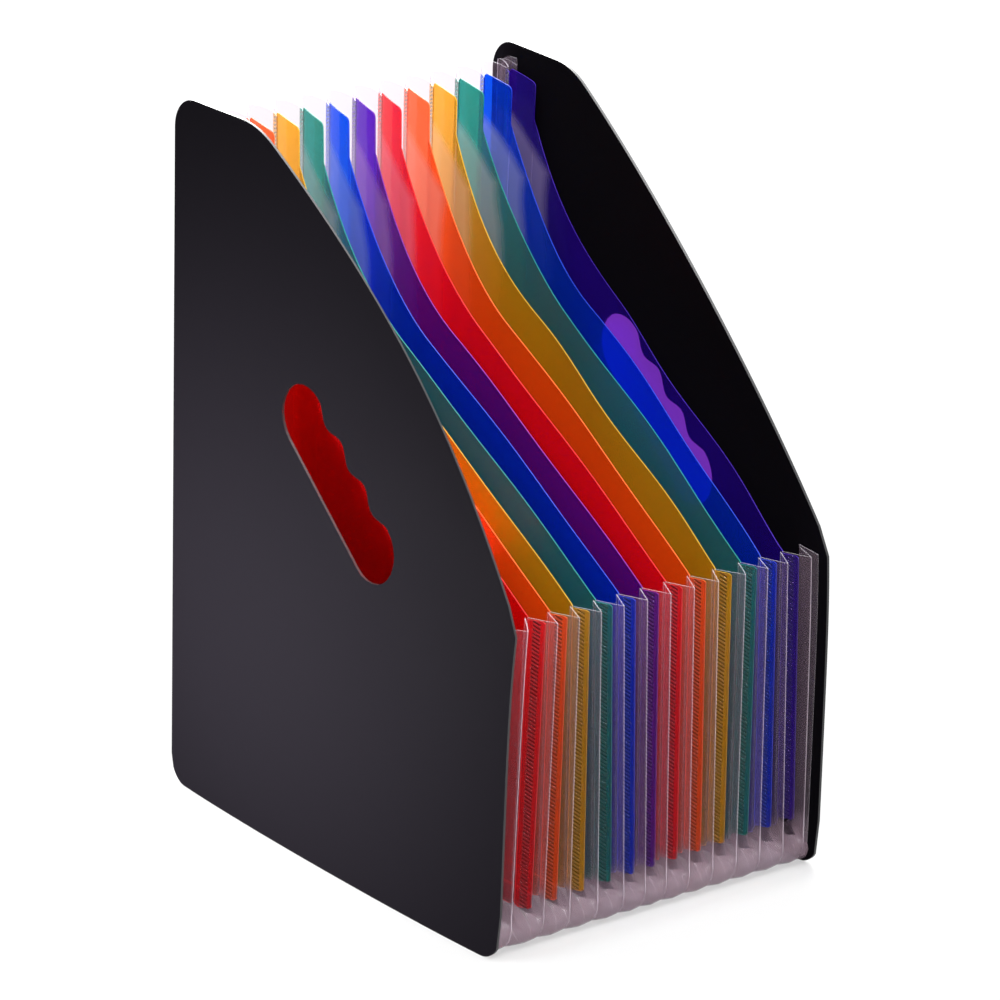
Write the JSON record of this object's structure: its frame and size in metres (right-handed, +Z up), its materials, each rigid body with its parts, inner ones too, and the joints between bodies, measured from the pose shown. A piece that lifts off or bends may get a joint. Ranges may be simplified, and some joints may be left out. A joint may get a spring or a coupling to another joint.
{
  "type": "accordion file organizer",
  "caption": "Open-top accordion file with magazine-file shaped covers, scalloped hand holes, translucent coloured dividers and a clear pleated gusset.",
  "frame": {"origin": "middle of the footprint, on the surface that the open file stands on", "axes": "+X the way the pockets stack from the front cover to the back cover, +Y to the tall rear side, +Z up"},
  "size_m": [0.1806, 0.25, 0.33],
  "materials": {
    "cover_black": "fine matt grain",
    "gusset_clear": "frosted translucent",
    "red_sheet": "smooth translucent",
    "orange_sheet": "smooth translucent",
    "yellow_sheet": "smooth translucent",
    "teal_sheet": "smooth translucent",
    "blue_sheet": "smooth translucent",
    "purple_sheet": "smooth translucent",
    "indigo_sheet": "smooth translucent"
  },
  "bodies": {
    "back_cover": {"back_cover": "cover_black"},
    "divider_12": {"divider_12": "indigo_sheet", "gusset_pleat_12": "gusset_clear"},
    "divider_11": {"divider_11": "blue_sheet", "gusset_pleat_11": "gusset_clear"},
    "divider_10": {"divider_10": "teal_sheet", "gusset_pleat_10": "gusset_clear"},
    "divider_09": {"divider_09": "yellow_sheet", "gusset_pleat_09": "gusset_clear"},
    "divider_08": {"divider_08": "orange_sheet", "gusset_pleat_08": "gusset_clear"},
    "divider_07": {"divider_07": "red_sheet", "gusset_pleat_07": "gusset_clear"},
    "divider_06": {"divider_06": "purple_sheet", "gusset_pleat_06": "gusset_clear"},
    "divider_05": {"divider_05": "blue_sheet", "gusset_pleat_05": "gusset_clear"},
    "divider_04": {"divider_04": "teal_sheet", "gusset_pleat_04": "gusset_clear"},
    "divider_03": {"divider_03": "yellow_sheet", "gusset_pleat_03": "gusset_clear"},
    "divider_02": {"divider_02": "orange_sheet", "gusset_pleat_02": "gusset_clear"},
    "divider_01": {"divider_01": "red_sheet", "gusset_pleat_01": "gusset_clear"},
    "front_cover": {"front_cover": "cover_black", "gusset_pleat_00": "gusset_clear"}
  },
  "joints": [
    {"name": "pocket_13_close", "type": "slide", "parent": "back_cover", "child": "divider_12", "axis": [1, 0, 0], "range_m": [0, 0.0047], "deforming": ["gusset_pleat_12"]},
    {"name": "pocket_12_close", "type": "slide", "parent": "divider_12", "child": "divider_11", "axis": [1, 0, 0], "range_m": [0, 0.0111], "deforming": ["gusset_pleat_11"]},
    {"name": "pocket_11_close", "type": "slide", "parent": "divider_11", "child": "divider_10", "axis": [1, 0, 0], "range_m": [0, 0.0111], "deforming": ["gusset_pleat_10"]},
    {"name": "pocket_10_close", "type": "slide", "parent": "divider_10", "child": "divider_09", "axis": [1, 0, 0], "range_m": [0, 0.0111], "deforming": ["gusset_pleat_09"]},
    {"name": "pocket_09_close", "type": "slide", "parent": "divider_09", "child": "divider_08", "axis": [1, 0, 0], "range_m": [0, 0.0111], "deforming": ["gusset_pleat_08"]},
    {"name": "pocket_08_close", "type": "slide", "parent": "divider_08", "child": "divider_07", "axis": [1, 0, 0], "range_m": [0, 0.0111], "deforming": ["gusset_pleat_07"]},
    {"name": "pocket_07_close", "type": "slide", "parent": "divider_07", "child": "divider_06", "axis": [1, 0, 0], "range_m": [0, 0.0111], "deforming": ["gusset_pleat_06"]},
    {"name": "pocket_06_close", "type": "slide", "parent": "divider_06", "child": "divider_05", "axis": [1, 0, 0], "range_m": [0, 0.0111], "deforming": ["gusset_pleat_05"]},
    {"name": "pocket_05_close", "type": "slide", "parent": "divider_05", "child": "divider_04", "axis": [1, 0, 0], "range_m": [0, 0.0111], "deforming": ["gusset_pleat_04"]},
    {"name": "pocket_04_close", "type": "slide", "parent": "divider_04", "child": "divider_03", "axis": [1, 0, 0], "range_m": [0, 0.0111], "deforming": ["gusset_pleat_03"]},
    {"name": "pocket_03_close", "type": "slide", "parent": "divider_03", "child": "divider_02", "axis": [1, 0, 0], "range_m": [0, 0.0111], "deforming": ["gusset_pleat_02"]},
    {"name": "pocket_02_close", "type": "slide", "parent": "divider_02", "child": "divider_01", "axis": [1, 0, 0], "range_m": [0, 0.0111], "deforming": ["gusset_pleat_01"]},
    {"name": "pocket_01_close", "type": "slide", "parent": "divider_01", "child": "front_cover", "axis": [1, 0, 0], "range_m": [0, 0.0151], "deforming": ["gusset_pleat_00"]}
  ],
  "couplings": [
    {"joint": "pocket_12_close", "follows": "pocket_13_close", "ratio": 2.3617},
    {"joint": "pocket_11_close", "follows": "pocket_13_close", "ratio": 2.3617},
    {"joint": "pocket_10_close", "follows": "pocket_13_close", "ratio": 2.3617},
    {"joint": "pocket_09_close", "follows": "pocket_13_close", "ratio": 2.3617},
    {"joint": "pocket_08_close", "follows": "pocket_13_close", "ratio": 2.3617},
    {"joint": "pocket_07_close", "follows": "pocket_13_close", "ratio": 2.3617},
    {"joint": "pocket_06_close", "follows": "pocket_13_close", "ratio": 2.3617},
    {"joint": "pocket_05_close", "follows": "pocket_13_close", "ratio": 2.3617},
    {"joint": "pocket_04_close", "follows": "pocket_13_close", "ratio": 2.3617},
    {"joint": "pocket_03_close", "follows": "pocket_13_close", "ratio": 2.3617},
    {"joint": "pocket_02_close", "follows": "pocket_13_close", "ratio": 2.3617},
    {"joint": "pocket_01_close", "follows": "pocket_13_close", "ratio": 3.2128}
  ]
}
